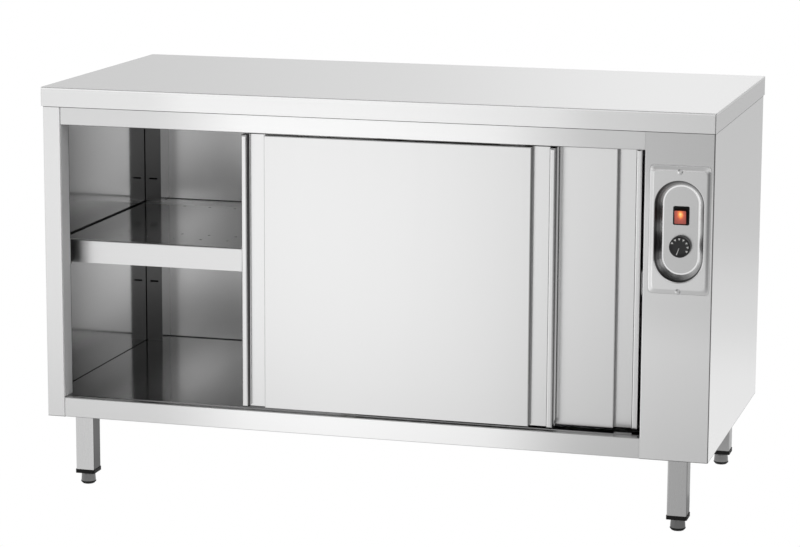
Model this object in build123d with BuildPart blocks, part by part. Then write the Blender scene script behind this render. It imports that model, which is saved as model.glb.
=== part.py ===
"""Plate warmer cabinet: a stainless counter with two sliding doors, a shelf and a fan heater.

Millimetres, +Z up, +Y to the back, origin on the floor under the middle of the worktop.
"""

import os
from math import atan, cos, degrees, radians, sin

from build123d import *

# ---- Worktop -------------------------------------------------------------------------------------
worktop_width = 1400.0
worktop_depth = 650.0
worktop_height = 850.0
worktop_edge = 40.0
worktop_sheet = 1.5
worktop_hem = 14.0
worktop_corner = 3.0
worktop_bend = 2.0
core_board = 18.0
core_gap = 2.0
brace_height = 17.0
brace_crown = 40.0
brace_foot = 15.0
worktop_brace_count = 3
worktop_brace_pitch = 200.0

# ---- Body ----------------------------------------------------------------------------------------
side_overhang = 2.0
front_overhang = 6.0
back_overhang = 6.0
body_bottom = 155.0
worktop_gap = 0.8
skin = 1.2
bend = 2.2
seam = 0.3
corner_wrap = 5.0
stile_width = 39.0
stile_return = 41.0
column_width = 137.0
top_rail_height = 38.0
top_rail_return = 8.0
bottom_rail_height = 42.0
bottom_rail_return = 18.0
back_flange = 15.0
ceiling_depth = 4.0
floor_flange = 15.0
floor_step = 1.0
floor_gap = 2.0
pan_flange = 24.0
edge_softening = 0.9

# ---- Slotted corner posts and shelf --------------------------------------------------------------
post_depth = 55.0
post_sheet = 1.5
post_gap = 1.5
strip_flange = 15.0
slot_width = 20.0
slot_height = 4.0
slot_pitch = 118.5
slot_count = 4
lowest_slot = 336.0
shelf_sheet = 1.2
shelf_flange = 48.0
shelf_gap = 2.0
notch_gap = 0.5
shelf_hole = 6.0
shelf_hole_pitch = 59.9
shelf_hole_row_gap = 52.5
front_hole_inset = 102.5
back_hole_inset = 64.6
shelf_brace_height = 20.0
shelf_brace_spread = 240.0
clip_rise = 17.5
clip_lap = 10.0
clip_side_gap = 1.0
clip_sheet = 1.5

# ---- Doors ---------------------------------------------------------------------------------------
door_bottom_gap = 6.5
door_top_gap = 4.0
door_end_gap = 1.0
door_thickness = 30.0
door_sheet = 1.0
door_bend = 2.0
door_inset = 2.0
door_pitch = 36.0
channel_width = 36.0
pull_depth = 15.0
lip_width = 13.0
lip_radius = 4.0
front_door_reach = 43.0
rear_door_reach = 0.5
front_door_rest = 389.5
rear_door_rest = 10.5
door_flange = 10.0
groove_height = 12.0
groove_width = 9.0
groove_gap = 1.5
hanger_margin = 90.0
hanger_width = 50.0
hanger_sheet = 3.0
hanger_set_in = 40.0
hanger_slot_gap = 0.5

# ---- Door track, rollers and floor guide ---------------------------------------------------------
track_height = 30.0
track_wall = 1.5
track_ledge = 2.0
track_slot = 9.0
roller_radius = 11.0
roller_width = 7.0
roller_lift = 0.3
axle_radius = 3.0
running_gap = 0.06
stop_length = 20.0
stop_height = 16.0
stop_gap = 0.3
guide_shift = 4.0
guide_base = 30.0
guide_base_height = 2.0
guide_tongue_length = 7.0
guide_tongue_width = 6.0
guide_bite = 6.0
guide_keep = 11.5

# ---- Control plate, switch and thermostat --------------------------------------------------------
control_inset = 67.0
control_drop = 195.5
plate_shift_x = 1.0
plate_shift_z = 3.5
plate_width = 122.0
plate_height = 254.0
plate_rise = 3.0
plate_bevel = 8.0
plate_sheet = 1.2
recess_width = 94.6
recess_height = 199.0
recess_depth = 25.0
recess_draft = 7.7
cutout_gap = 1.0
screw_spread = 237.0
screw_head = 5.8
screw_head_height = 3.0
screw_head_round = 1.5
screw_shank = 2.0
screw_length = 12.0
screw_gap = 0.2
switch_rise = 28.5
bezel_width = 32.0
bezel_height = 37.0
bezel_rise = 2.5
bezel_radius = 3.0
switch_body_width = 28.0
switch_body_height = 33.5
switch_body_depth = 20.0
switch_gap = 0.2
rocker_width = 23.0
rocker_half_height = 13.3
rocker_proud = 12.0
rocker_dip = 10.3
rocker_back = 3.0
rocker_tilt = 8.0
rocker_pin = 1.5
rocker_side_gap = 0.5
pocket_half_height = 14.7
pocket_depth = 7.5
rocker_pivot_depth = 0.5
knob_drop = 32.0
knob_radius = 21.5
knob_height = 14.0
knob_draft = 1.0
knob_edge = 1.5
knob_clearance = 0.8
knob_fit = 0.02
shaft_radius = 3.0
shaft_in_knob = 10.0
shaft_in_body = 12.0
thermostat_width = 40.0
thermostat_height = 44.0
thermostat_depth = 32.0

# ---- Fan heater in the control compartment -------------------------------------------------------
fan_y = 60.0
fan_z = 335.0
housing_width = 216.0
housing_height = 196.0
housing_depth = 40.0
housing_sheet = 1.0
intake_radius = 50.0
outlet_width = 170.0
outlet_height = 18.0
outlet_offset = 82.0
rotor_radius = 54.0
rotor_width = 24.0
rotor_plate = 1.0
rotor_gap = 5.0
blade_count = 12
blade_chord = 20.0
hub_radius = 8.0
motor_radius = 34.0
motor_length = 44.0
motor_shaft = 4.0
element_radius = 72.0
element_tube = 4.0
element_gap_angle = 20.0
element_tail = 16.0
element_gap = 8.0
grille_width = 220.0
grille_height = 200.0
grille_slot_width = 4.0
grille_slot_length = 30.0
grille_columns = 5
grille_rows = 16
grille_row_pitch = 11.0
grille_column_pitch = 40.0

# ---- Rear service cover, terminal block and cable gland ------------------------------------------
cover_width = 74.0
cover_height = 380.0
cover_drop = 360.0
cover_lap = 8.0
cover_screw_inset = 4.0
vent_width = 44.0
vent_height = 5.0
vent_pitch = 14.0
vent_count = 8
vent_rise = 110.0
terminal_width = 60.0
terminal_depth = 30.0
terminal_height = 24.0
terminal_screw_radius = 3.0
terminal_ways = 3
terminal_gap = 7.0
gland_spacing = 60.0
gland_radius = 8.0
gland_hex = 24.0
gland_hex_height = 6.0
gland_cap_radius = 11.0
gland_cap_height = 12.0
gland_cord_radius = 3.6
gland_inside = 10.0

# ---- Legs and levelling feet ---------------------------------------------------------------------
leg_inset_x = 66.0
front_leg_inset = 57.0
rear_leg_inset = 37.0
leg_side = 40.0
leg_wall = 1.5
leg_corner = 3.0
leg_plate = 60.0
leg_plate_thickness = 4.0
leg_hole_gap = 0.4
cap_bottom = 25.0
cap_height = 8.0
cap_overhang = 1.0
cap_plug = 14.0
foot_top_radius = 14.5
foot_base_radius = 16.0
foot_pad_height = 6.0
foot_pad_chamfer = 4.0
foot_gap = 0.3
spindle_radius = 5.0
spindle_gap = 0.08
spindle_length = 50.0

# ---- Places worked out from the sizes above ------------------------------------------------------
body_left = -worktop_width / 2 + side_overhang
body_right = -body_left
body_front = -worktop_depth / 2 + front_overhang
body_back = worktop_depth / 2 - back_overhang
body_top = worktop_height - worktop_edge
panel_top = body_top - worktop_gap
inside_left = body_left + skin
inside_right = body_right - skin
front_inner = body_front + skin
back_inner = body_back - 2 * skin
opening_left = body_left + stile_width
opening_right = body_right - column_width
opening_top = body_top - top_rail_height
opening_bottom = body_bottom + bottom_rail_height
floor_top = opening_bottom + floor_step
ceiling_z = body_top - ceiling_depth
pan_top = body_bottom + 2 * skin
partition_x = opening_right + stile_width - skin
inner_bend = bend - skin
opening_width = opening_right - opening_left
opening_middle = (opening_left + opening_right) / 2
shelf_top = lowest_slot + slot_pitch + clip_rise + shelf_flange
control_x = body_right - control_inset
control_z = body_top - control_drop
switch_z = control_z + switch_rise
knob_z = control_z - knob_drop
cover_x = (partition_x + body_right - back_flange) / 2
cover_z = body_top - cover_drop
vent_z = cover_z + vent_rise
leg_x = body_right - leg_inset_x
front_leg_y = body_front + front_leg_inset
rear_leg_y = body_back - rear_leg_inset
leg_middle_y = (front_leg_y + rear_leg_y) / 2
leg_spread_y = rear_leg_y - front_leg_y
terminal_y = rear_leg_y - leg_plate / 2 - terminal_gap - terminal_depth / 2
gland_y = terminal_y - gland_spacing
door_bottom = opening_bottom + door_bottom_gap
door_top = opening_top - door_top_gap
pull_width = channel_width + lip_width
guide_x = opening_middle + guide_shift
front_door_width = opening_width / 2 - door_end_gap + front_door_reach
rear_door_width = opening_width / 2 - door_end_gap + rear_door_reach
front_panel_width = front_door_width - 2 * pull_width
rear_panel_width = rear_door_width - pull_width
front_door_low = opening_left + door_end_gap
front_door_high = opening_right - door_end_gap - front_door_width
rear_door_low = guide_x + guide_tongue_length / 2 + guide_keep - rear_door_width
rear_door_high = opening_right - door_end_gap - rear_door_width
front_door_left = front_door_low + front_door_rest
rear_door_left = rear_door_high - rear_door_rest
front_door_face = body_front + door_inset
rear_door_face = front_door_face + door_pitch
tray_depth = door_thickness - 2 * door_sheet
groove_start = pull_depth + door_sheet + groove_gap
groove_end = groove_start + groove_width
groove_middle = groove_start + groove_width / 2
front_door_mid = front_door_face + door_thickness / 2
rear_door_mid = rear_door_face + door_thickness / 2
track_bottom = ceiling_z - track_height
roller_z = track_bottom + track_ledge + roller_lift + roller_radius
roller_offset = track_slot / 2 + roller_lift + roller_width / 2
shelf_front = rear_door_face + door_thickness + shelf_gap * 2
front_post_y = body_front + stile_return
rear_post_y = back_inner - post_depth
plate_face = body_front - plate_rise
recess_floor = plate_face + recess_depth

os.makedirs("parts", exist_ok=True)


def write_piece(piece, name):
    """Labels a finished piece and writes its STEP file."""
    piece.part.label = name
    export_step(piece.part, f"parts/{name}.step")


def block(low, high, mode=Mode.ADD):
    """Adds, or cuts, the upright box between two corners."""
    with Locations(tuple((a + b) / 2 for a, b in zip(low, high))):
        Box(*[b - a for a, b in zip(low, high)], mode=mode)


def bent_strip(points, sheet, side, radius):
    """Draws the section of a folded sheet whose outer face follows the points."""
    with BuildSketch() as strip:
        with BuildLine():
            FilletPolyline(*points, radius=radius)
            offset(amount=sheet, side=side)
        make_face()
    add(strip.sketch)


# ---- Worktop: folded tray, particle board and glued braces ---------------------------------------
with BuildPart() as worktop:
    with BuildSketch(Plane.XY.offset(body_top)):
        RectangleRounded(worktop_width, worktop_depth, worktop_corner)
    extrude(amount=worktop_edge)
    fillet(worktop.faces().sort_by(Axis.Z)[-1].edges(), radius=worktop_bend)
    offset(amount=-worktop_sheet, openings=worktop.faces().sort_by(Axis.Z)[0])
    with BuildSketch(Plane.XY.offset(body_top)):
        RectangleRounded(worktop_width, worktop_depth, worktop_corner)
        Rectangle(worktop_width - 2 * worktop_hem, worktop_depth - 2 * worktop_hem, mode=Mode.SUBTRACT)
    extrude(amount=worktop_sheet)
write_piece(worktop, "worktop")

core_top = worktop_height - worktop_sheet
core_inset = worktop_sheet + core_gap
with BuildPart() as worktop_core:
    with BuildSketch(Plane.XY.offset(core_top - core_board)):
        Rectangle(worktop_width - 2 * core_inset, worktop_depth - 2 * core_inset)
    extrude(amount=core_board)
write_piece(worktop_core, "worktop_core")


def hat_section(middle_y, top_z, height, sheet):
    """Draws a hat profile in the YZ plane, hanging below the board or sheet it is fixed to."""
    half_crown = brace_crown / 2
    outer = half_crown + brace_foot
    bent_strip(
        [
            (middle_y - outer, top_z - sheet),
            (middle_y - half_crown, top_z - sheet),
            (middle_y - half_crown, top_z - height),
            (middle_y + half_crown, top_z - height),
            (middle_y + half_crown, top_z - sheet),
            (middle_y + outer, top_z - sheet),
        ],
        sheet,
        Side.LEFT,
        bend,
    )


worktop_brace_end = worktop_width / 2 - worktop_hem - core_gap
with BuildPart() as worktop_braces:
    for row in range(worktop_brace_count):
        with BuildSketch(Plane.YZ.offset(-worktop_brace_end)):
            row_y = (row - (worktop_brace_count - 1) / 2) * worktop_brace_pitch
            hat_section(row_y, core_top - core_board, brace_height, worktop_sheet)
        extrude(amount=2 * worktop_brace_end)
write_piece(worktop_braces, "worktop_braces")

# ---- Ceiling, floor and base pan: folded trays between the outer panels --------------------------
with BuildPart() as ceiling_panel:
    block(
        (inside_left + seam, front_inner + inner_bend + seam, ceiling_z),
        (inside_right - seam, back_inner - seam, body_top),
    )
    offset(amount=-skin, openings=ceiling_panel.faces().sort_by(Axis.Z)[-1])
write_piece(ceiling_panel, "ceiling_panel")

with BuildPart() as floor_panel:
    block(
        (inside_left + floor_gap, body_front + bottom_rail_return + seam, floor_top - floor_flange),
        (partition_x - floor_gap, back_inner - floor_gap, floor_top),
    )
    offset(amount=-skin, openings=floor_panel.faces().sort_by(Axis.Z)[0])
write_piece(floor_panel, "floor_panel")

with BuildPart() as base_pan:
    block(
        (inside_left + seam, front_inner + inner_bend + seam, body_bottom + skin),
        (inside_right - seam, back_inner - seam, body_bottom + skin + pan_flange),
    )
    offset(amount=-skin, openings=base_pan.faces().sort_by(Axis.Z)[-1])
    with BuildSketch(Plane.XY.offset(body_bottom)):
        with Locations((0, leg_middle_y)):
            with GridLocations(2 * leg_x, leg_spread_y, 2, 2):
                Rectangle(leg_side + 2 * leg_hole_gap, leg_side + 2 * leg_hole_gap)
        with Locations((cover_x, gland_y)):
            Circle(gland_radius + screw_gap)
    extrude(amount=pan_flange, mode=Mode.SUBTRACT)
write_piece(base_pan, "base_pan")


# ---- Outer panels: two sides, the back and the partition beside the controls ---------------------
def side_panel(name, outer_x, hand):
    """One side sheet with a flange turned in at the back; hand is 1 on the left, -1 on the right."""
    with BuildPart() as panel:
        with BuildSketch(Plane.XY.offset(body_bottom)):
            bent_strip(
                [
                    (outer_x, body_front + corner_wrap + seam),
                    (outer_x, body_back),
                    (outer_x + hand * back_flange, body_back),
                ],
                skin,
                Side.RIGHT if hand > 0 else Side.LEFT,
                bend,
            )
        extrude(amount=panel_top - body_bottom)
        outer_edges = panel.faces().sort_by(Axis.Z)[-1].edges().filter_by(Axis.Y).sort_by(Axis.X)
        fillet(outer_edges[0 if hand > 0 else -1], radius=edge_softening)
    write_piece(panel, name)


side_panel("left_side_panel", body_left, 1)
side_panel("right_side_panel", body_right, -1)

with BuildPart() as back_panel:
    with BuildSketch(Plane.XZ.offset(-back_inner)):
        with Locations((0, (panel_top + body_bottom) / 2)):
            Rectangle(2 * (inside_right - inner_bend - seam), panel_top - body_bottom)
        with Locations((cover_x, cover_z)):
            Rectangle(cover_width - 2 * cover_lap, cover_height - 2 * cover_lap, mode=Mode.SUBTRACT)
            with GridLocations(0, cover_height - 2 * cover_screw_inset, 1, 2):
                Circle(screw_shank + screw_gap, mode=Mode.SUBTRACT)
    extrude(amount=-skin)
write_piece(back_panel, "back_panel")

partition_front = front_post_y + seam
partition_back = back_inner - skin - 2 * seam
with BuildPart() as partition:
    with BuildSketch(Plane.YZ.offset(partition_x)):
        with Locations(((partition_front + partition_back) / 2, (pan_top + ceiling_z) / 2)):
            Rectangle(partition_back - partition_front, ceiling_z - pan_top)
        with Locations((fan_y, fan_z)):
            Circle(intake_radius, mode=Mode.SUBTRACT)
        with Locations((fan_y, fan_z - outlet_offset), (fan_y, fan_z + outlet_offset)):
            Rectangle(outlet_width, outlet_height, mode=Mode.SUBTRACT)
    extrude(amount=skin)
write_piece(partition, "partition")


# ---- Front frame: stile, control column and two rails --------------------------------------------
def front_upright(name, outer_x, inner_x, side, cutout):
    """A front sheet folded round the body's corner and, beside the opening, back into the frame."""
    flat_end = [(inner_x, body_front)]
    folded_end = [(inner_x, body_front), (inner_x, body_front + stile_return)]
    with BuildPart() as upright:
        for low_z, high_z, inner_end in (
            (body_bottom, floor_top, flat_end),
            (floor_top, opening_top, folded_end),
            (opening_top, panel_top, flat_end),
        ):
            with BuildSketch(Plane.XY.offset(low_z)):
                bent_strip(
                    [(outer_x, body_front + corner_wrap), (outer_x, body_front), *inner_end],
                    skin,
                    side,
                    bend,
                )
            extrude(amount=high_z - low_z)
        top_edges = upright.faces().sort_by(Axis.Z)[-1].edges().filter_by(Axis.X)
        fillet(top_edges.sort_by(Axis.Y)[0], radius=edge_softening)
        if cutout:
            with BuildSketch(Plane.XZ.offset(-body_front)):
                with Locations((control_x, control_z)):
                    SlotOverall(
                        recess_height + 2 * (plate_sheet + cutout_gap),
                        recess_width + 2 * (plate_sheet + cutout_gap),
                        rotation=90,
                    )
                with Locations((control_x, control_z)):
                    with GridLocations(0, screw_spread, 1, 2):
                        Circle(screw_shank + screw_gap)
            extrude(amount=-2 * skin, mode=Mode.SUBTRACT)
    write_piece(upright, name)


front_upright("left_stile", body_left, opening_left, Side.LEFT, cutout=False)
front_upright("control_column", body_right, opening_right, Side.RIGHT, cutout=True)

rail_left = opening_left + seam
rail_length = opening_right - opening_left - 2 * seam
with BuildPart() as top_rail:
    with BuildSketch(Plane.YZ.offset(rail_left)):
        bent_strip(
            [
                (body_front, panel_top),
                (body_front, opening_top),
                (body_front + top_rail_return, opening_top),
            ],
            skin,
            Side.LEFT,
            bend,
        )
    extrude(amount=rail_length)
    fillet(top_rail.edges().filter_by(Axis.X).group_by(Axis.Z)[-1].sort_by(Axis.Y)[0], radius=edge_softening)
write_piece(top_rail, "top_rail")

with BuildPart() as bottom_rail:
    with BuildSketch(Plane.YZ.offset(rail_left)):
        bent_strip(
            [
                (body_front + bottom_rail_return, opening_bottom),
                (body_front, opening_bottom),
                (body_front, body_bottom),
                (body_front + bottom_rail_return, body_bottom),
            ],
            skin,
            Side.LEFT,
            bend,
        )
    extrude(amount=rail_length)
write_piece(bottom_rail, "bottom_rail")

# ---- Slotted posts in the rear corners and slotted strips behind the front frame -----------------
post_width = stile_width - skin - post_gap
left_post_x = inside_left + post_gap
right_post_x = partition_x - post_gap - post_width


def slot_rows(face_y, depth):
    """Cuts the row of shelf slots through the post faces at that depth."""
    slots_middle = lowest_slot + (slot_count - 1) * slot_pitch / 2
    with BuildSketch(Plane.XZ.offset(-face_y)) as slots:
        for post_x in (left_post_x, right_post_x):
            with Locations((post_x + post_width / 2, slots_middle)):
                with GridLocations(0, slot_pitch, 1, slot_count):
                    SlotOverall(slot_width, slot_height)
    extrude(slots.sketch, amount=-depth, mode=Mode.SUBTRACT)


strip_y = front_post_y + seam
with BuildPart() as corner_posts:
    with BuildSketch(Plane.XY.offset(floor_top)):
        for post_x in (left_post_x, right_post_x):
            with Locations((post_x + post_width / 2, rear_post_y - seam + post_depth / 2)):
                Rectangle(post_width, post_depth)
                Rectangle(post_width - 2 * post_sheet, post_depth - 2 * post_sheet, mode=Mode.SUBTRACT)
        for inner_x, wall_x, side in (
            (left_post_x + post_width, left_post_x, Side.RIGHT),
            (right_post_x, right_post_x + post_width, Side.LEFT),
        ):
            bent_strip(
                [(inner_x, strip_y), (wall_x, strip_y), (wall_x, strip_y + strip_flange)],
                post_sheet,
                side,
                bend,
            )
    extrude(amount=ceiling_z - floor_top)
    slot_rows(strip_y, post_sheet)
    slot_rows(rear_post_y - seam, post_sheet)
write_piece(corner_posts, "corner_posts")

# ---- Shelf: perforated tray on four clips, stiffened by two braces -------------------------------
shelf_left = inside_left + shelf_gap
shelf_right = partition_x - shelf_gap
shelf_back = back_inner - shelf_gap
hole_columns = int(opening_width // shelf_hole_pitch) - 1
hole_rows = (shelf_front + front_hole_inset, shelf_back - back_hole_inset)
notch_x = post_gap + post_width + notch_gap - shelf_gap
back_notch_start = rear_post_y - seam - notch_gap
with BuildPart() as shelf:
    block((shelf_left, shelf_front, shelf_top - shelf_flange), (shelf_right, shelf_back, shelf_top))
    for low_x, high_x in ((shelf_left, shelf_left + notch_x), (shelf_right - notch_x, shelf_right)):
        block(
            (low_x, back_notch_start, shelf_top - shelf_flange),
            (high_x, shelf_back, shelf_top),
            mode=Mode.SUBTRACT,
        )
    fillet(shelf.faces().sort_by(Axis.Z)[-1].edges().filter_by(Axis.X).sort_by(Axis.Y)[0], radius=bend)
    offset(amount=-shelf_sheet, openings=shelf.faces().sort_by(Axis.Z)[0])
    with BuildSketch(Plane.XY.offset(shelf_top)):
        for row_y in hole_rows:
            with Locations((opening_middle, row_y)):
                with GridLocations(shelf_hole_pitch, shelf_hole_row_gap, hole_columns, 2):
                    Circle(shelf_hole / 2)
    extrude(amount=-2 * shelf_sheet, mode=Mode.SUBTRACT)
write_piece(shelf, "shelf")

with BuildPart() as shelf_braces:
    for half_spread in (-shelf_brace_spread / 2, shelf_brace_spread / 2):
        brace_y = (shelf_front + shelf_back) / 2 + half_spread
        with BuildSketch(Plane.YZ.offset(shelf_left + notch_x)):
            hat_section(brace_y, shelf_top - shelf_sheet, shelf_brace_height, shelf_sheet)
        extrude(amount=shelf_right - shelf_left - 2 * notch_x)
write_piece(shelf_braces, "shelf_braces")

clip_slot_z = lowest_slot + slot_pitch
clip_top = shelf_top - shelf_flange
clip_width = slot_width - 2 * clip_side_gap
front_clip_y = strip_y + post_sheet
rear_clip_y = rear_post_y - seam
with BuildPart() as shelf_clips:
    for face_y, toward, ledge_y in (
        (front_clip_y, 1, shelf_front + clip_lap),
        (rear_clip_y, -1, back_notch_start - clip_lap),
    ):
        for post_x in (left_post_x, right_post_x):
            low_x = post_x + (post_width - clip_width) / 2
            high_x = low_x + clip_width
            plate_y = face_y + toward * clip_sheet
            hook_y = face_y - toward * 2 * clip_sheet
            block(
                (low_x, min(face_y, plate_y), clip_slot_z - clip_sheet / 2),
                (high_x, max(face_y, plate_y), clip_top),
            )
            block(
                (low_x, min(face_y, ledge_y), clip_top - clip_sheet),
                (high_x, max(face_y, ledge_y), clip_top),
            )
            block(
                (low_x, min(hook_y, plate_y), clip_slot_z - clip_sheet / 2),
                (high_x, max(hook_y, plate_y), clip_slot_z + clip_sheet / 2),
            )
write_piece(shelf_clips, "shelf_clips")

# ---- Door track: two channels side by side under the ceiling, with stops and a floor guide -------
channel_half = door_thickness / 2
track_front = front_door_mid - channel_half
track_back = rear_door_mid + channel_half
with BuildPart() as door_track:
    with BuildSketch(Plane.YZ.offset(rail_left)):
        with Locations(((track_front + track_back) / 2, track_bottom + track_height / 2)):
            Rectangle(track_back - track_front, track_height)
        pocket_bottom = track_bottom + track_ledge
        pocket_height = track_height - track_ledge - track_wall
        for middle_y in (front_door_mid, rear_door_mid):
            with Locations((middle_y, pocket_bottom + pocket_height / 2)):
                Rectangle(2 * (channel_half - track_wall), pocket_height, mode=Mode.SUBTRACT)
            with Locations((middle_y, track_bottom + track_ledge / 2)):
                Rectangle(track_slot, 2 * track_ledge, mode=Mode.SUBTRACT)
        with Locations(((front_door_mid + rear_door_mid) / 2, track_bottom)):
            Rectangle(door_pitch - door_thickness, 2 * (track_height - track_wall), mode=Mode.SUBTRACT)
    extrude(amount=rail_length)
write_piece(door_track, "door_track")

stop_reach = roller_radius + stop_gap
with BuildPart() as track_stops:
    for middle_y, low_left, high_left, width in (
        (front_door_mid, front_door_low, front_door_high, front_door_width),
        (rear_door_mid, rear_door_low, rear_door_high, rear_door_width),
    ):
        low_y = middle_y + track_slot / 2
        high_y = middle_y + channel_half - track_wall
        left_face = low_left + hanger_margin - stop_reach
        right_face = high_left + width - hanger_margin + stop_reach
        for low_x in (left_face - stop_length, right_face):
            block(
                (low_x, low_y, track_bottom + track_ledge),
                (low_x + stop_length, high_y, track_bottom + track_ledge + stop_height),
            )
write_piece(track_stops, "track_stops")

front_tongue_y = front_door_face + groove_middle
rear_tongue_y = rear_door_face + groove_middle
with BuildPart() as door_guide:
    block(
        (guide_x - guide_base / 2, front_tongue_y - channel_half / 2, floor_top),
        (guide_x + guide_base / 2, rear_tongue_y + channel_half / 2, floor_top + guide_base_height),
    )
    for middle_y in (front_tongue_y, rear_tongue_y):
        block(
            (guide_x - guide_tongue_length / 2, middle_y - guide_tongue_width / 2, floor_top),
            (guide_x + guide_tongue_length / 2, middle_y + guide_tongue_width / 2, door_bottom + guide_bite),
        )
write_piece(door_guide, "door_guide")


# ---- Doors: front skin, finger pulls, back skin, core board, hangers and rollers -----------------
def groove(left, right, face_y):
    """Cuts the guide groove along the underside of a door piece."""
    block(
        (left, face_y + groove_start, door_bottom),
        (right, face_y + groove_end, door_bottom + groove_height),
        mode=Mode.SUBTRACT,
    )


def door_skin(name, panel_left, panel_width, face_y):
    """The flat front tray of a door, with short flanges at the top and bottom."""
    panel_right = panel_left + panel_width
    with BuildPart() as door:
        block((panel_left, face_y, door_bottom), (panel_right, face_y + tray_depth, door_top))
        fillet(door.faces().sort_by(Axis.Y)[0].edges(), radius=door_bend)
        offset(amount=-door_sheet, openings=door.faces().sort_by(Axis.Y)[-1])
        inner_left = panel_left + door_sheet
        inner_right = panel_right - door_sheet
        for flange, low_z, high_z in (
            (groove_start, door_bottom, door_bottom + door_sheet),
            (door_flange, door_top - door_sheet, door_top),
        ):
            block(
                (inner_left, face_y + flange, low_z),
                (inner_right, face_y + tray_depth, high_z),
                mode=Mode.SUBTRACT,
            )
        groove(panel_left, panel_right, face_y)
    write_piece(door, name)


def door_pulls(name, panel_left, panel_width, face_y, both_ends):
    """The folded finger pulls: a rounded lip, a channel floor and a flange along the panel."""
    panel_right = panel_left + panel_width
    lip_left = panel_right + channel_width
    with BuildPart() as pulls:
        block(
            (lip_left, face_y, door_bottom),
            (lip_left + lip_width, face_y + door_thickness - door_sheet, door_top),
        )
        fillet(pulls.faces().sort_by(Axis.Y)[0].edges(), radius=lip_radius)
        offset(amount=-door_sheet, openings=pulls.faces().sort_by(Axis.Y)[-1])
        floor_y = face_y + pull_depth
        block((panel_right, floor_y, door_bottom), (lip_left + door_sheet, floor_y + door_sheet, door_top))
        block((panel_right, floor_y, door_bottom), (panel_right + door_sheet, face_y + tray_depth, door_top))
        lip_corners = pulls.edges().filter_by(Axis.Z).sort_by_distance((lip_left, floor_y, door_top))
        fillet(lip_corners[0], radius=door_bend)
        groove(panel_right, lip_left + lip_width, face_y)
        if both_ends:
            mirror(about=Plane.YZ.offset(panel_left + panel_width / 2))
    write_piece(pulls, name)


def door_back(name, left, width, panel_left, panel_width, face_y):
    """The back sheet of a door, with flanges turned forward above and below the panel."""
    plate_y = face_y + door_thickness - door_sheet
    panel_right = panel_left + panel_width - door_sheet
    with BuildPart() as door:
        block((left, plate_y, door_bottom), (left + width, plate_y + door_sheet, door_top))
        for flange_y, low_z, high_z in (
            (face_y + groove_end, door_bottom, door_bottom + door_sheet),
            (plate_y - door_flange, door_top - door_sheet, door_top),
        ):
            block((panel_left + door_sheet, flange_y, low_z), (panel_right, plate_y, high_z))
    write_piece(door, name)


def hanger_places(left, width):
    """The two X places of a door's hangers."""
    return (left + hanger_margin, left + width - hanger_margin)


def door_core(name, left, width, panel_left, panel_width, face_y):
    """The board inside the panel, stopped above the guide groove and slotted for the hangers."""
    middle_y = face_y + door_thickness / 2
    half_slot = hanger_sheet / 2 + hanger_slot_gap
    slot_bottom = door_top - hanger_set_in - hanger_slot_gap
    with BuildPart() as core:
        block(
            (panel_left + door_sheet, face_y + door_sheet, door_bottom + groove_height),
            (panel_left + panel_width - door_sheet, face_y + tray_depth, door_top - door_sheet),
        )
        fillet(core.faces().sort_by(Axis.Y)[0].edges(), radius=door_bend)
        for hanger_x in hanger_places(left, width):
            half = hanger_width / 2 + hanger_slot_gap
            block(
                (hanger_x - half, middle_y - half_slot, slot_bottom),
                (hanger_x + half, middle_y + half_slot, door_top),
                mode=Mode.SUBTRACT,
            )
    write_piece(core, name)


def door_hangers(name, left, width, middle_y):
    """Two hanger plates set into the door, each with a fixed axle for its roller."""
    with BuildPart() as hangers:
        for hanger_x in hanger_places(left, width):
            plate_top = roller_z + roller_radius / 2
            block(
                (hanger_x - hanger_width / 2, middle_y - hanger_sheet / 2, door_top - hanger_set_in),
                (hanger_x + hanger_width / 2, middle_y + hanger_sheet / 2, plate_top),
            )
            with BuildSketch(Plane.XZ.offset(-middle_y)):
                with Locations((hanger_x, roller_z)):
                    Circle(axle_radius)
            extrude(amount=-(roller_offset + roller_width / 2 + roller_lift))
    write_piece(hangers, name)


def door_roller(name, hanger_x, middle_y):
    """One nylon roller with its running tread rounded at both rims."""
    with BuildPart() as roller:
        with BuildSketch(Plane.XZ.offset(-(middle_y + roller_offset - roller_width / 2))):
            with Locations((hanger_x, roller_z)):
                Circle(roller_radius)
                Circle(axle_radius + running_gap, mode=Mode.SUBTRACT)
        extrude(amount=-roller_width)
        rims = roller.edges().filter_by(GeomType.CIRCLE).sort_by(SortBy.RADIUS)[-2:]
        chamfer(rims, length=roller_lift)
    write_piece(roller, name)


def sliding_door(prefix, left, width, panel_left, panel_width, face_y, both_ends):
    """All pieces of one door."""
    middle_y = face_y + door_thickness / 2
    door_skin(f"{prefix}_door_skin", panel_left, panel_width, face_y)
    door_pulls(f"{prefix}_door_pulls", panel_left, panel_width, face_y, both_ends)
    door_back(f"{prefix}_door_back", left, width, panel_left, panel_width, face_y)
    door_core(f"{prefix}_door_core", left, width, panel_left, panel_width, face_y)
    door_hangers(f"{prefix}_door_hangers", left, width, middle_y)
    for end, hanger_x in zip(("left", "right"), hanger_places(left, width)):
        door_roller(f"{prefix}_roller_{end}", hanger_x, middle_y)


front_panel_left = front_door_left + pull_width
sliding_door(
    "front", front_door_left, front_door_width, front_panel_left, front_panel_width, front_door_face, True
)
sliding_door(
    "rear", rear_door_left, rear_door_width, rear_door_left, rear_panel_width, rear_door_face, False
)

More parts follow.
